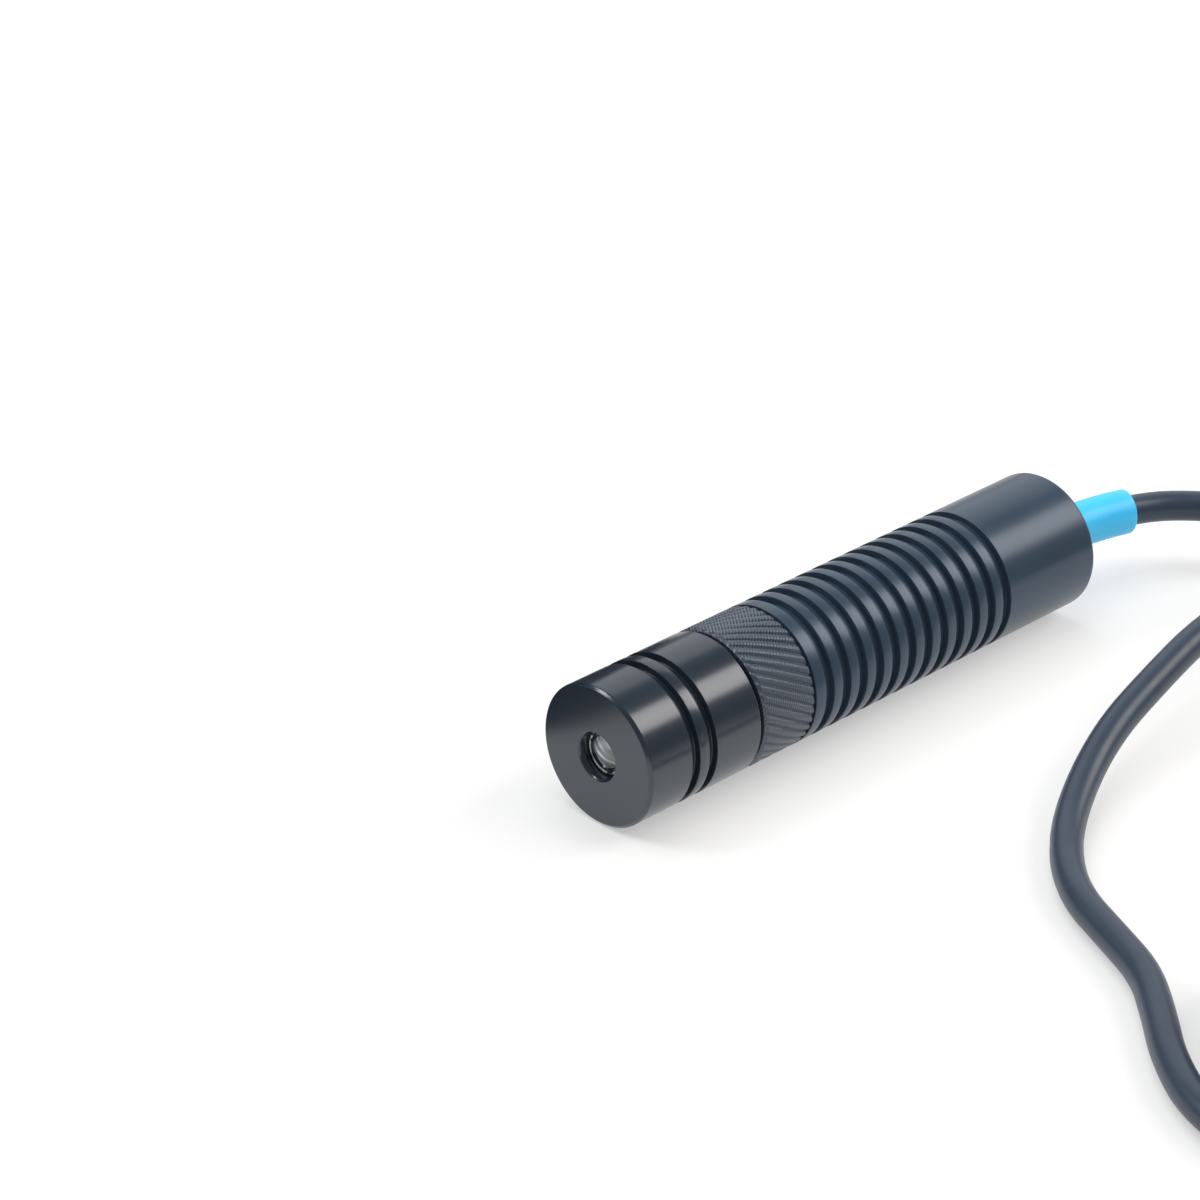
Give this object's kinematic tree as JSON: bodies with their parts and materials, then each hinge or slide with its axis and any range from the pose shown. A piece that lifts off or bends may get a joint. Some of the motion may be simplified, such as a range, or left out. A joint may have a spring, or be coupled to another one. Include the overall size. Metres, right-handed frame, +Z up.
{
  "type": "laser diode module",
  "caption": "Cylindrical laser diode module in black anodised aluminium with a focusing head, knurl, cooling grooves, sleeved lead and low-voltage socket.",
  "frame": {"origin": "on the surface that the module lies on, under the middle of the housing's length", "axes": "+X along the beam axis from the front face to the tail, +Z up; the beam leaves towards -X"},
  "size_m": [0.0944, 0.1211, 0.016],
  "materials": {
    "black_anodised_aluminium": "satin black anodised, turned",
    "brass": "turned",
    "glass": "polished, coated",
    "black_rubber": "matte",
    "nickel": "nickel plated",
    "gold_plated": "gold plated",
    "green_board": "glass fibre board with solder mask",
    "black_case": "moulded epoxy",
    "ferrite": "matte",
    "trimmer_plastic": "moulded",
    "tan_ceramic": "fired",
    "white_film": "thin plastic tube",
    "red_insulation": "soft vinyl",
    "black_insulation": "soft vinyl",
    "blue_sleeve": "shrunk vinyl, satin",
    "black_lead": "satin vinyl",
    "tie": "soft strap",
    "black_moulding": "moulded vinyl",
    "white_insulator": "moulded"
  },
  "bodies": {
    "housing": {"barrel": "black_anodised_aluminium", "diode_mount": "brass", "diode_retainer": "brass", "diode_base": "gold_plated", "diode_cap": "nickel", "diode_window": "glass", "diode_pins": "gold_plated", "driver_board": "green_board", "driver_chip": "black_case", "power_transistor": "black_case", "inductor": "ferrite", "current_trimmer": "trimmer_plastic", "filter_capacitors": "tan_ceramic", "resistors": "black_case", "board_insulator": "white_film", "supply_wire_positive": "red_insulation", "supply_wire_negative": "black_insulation", "rear_cap": "black_anodised_aluminium", "cable_sleeve": "blue_sleeve", "lead": "black_lead", "lead_coil": "black_lead", "lead_tail": "black_lead", "coil_tie": "tie", "socket_body": "black_moulding", "socket_contact": "nickel", "socket_pin": "nickel", "socket_insulator": "white_insulator"},
    "focus_ring": {"friction_ring": "black_rubber"},
    "head": {"front_head": "black_anodised_aluminium", "lens": "glass", "lens_retainer": "brass"}
  },
  "joints": [
    {"name": "focus_travel", "type": "slide", "parent": "housing", "child": "focus_ring", "axis": [-1, 0, 0], "range_m": [-0.00025, 0.001]},
    {"name": "focus_turn", "type": "hinge", "parent": "focus_ring", "child": "head", "pos_m": [-0.02, 0, 0.008], "axis": [-1, 0, 0], "range_deg": [-185, 725]}
  ],
  "couplings": [
    {"joint": "focus_turn", "follows": "focus_travel", "rad_per_m": 12566}
  ]
}
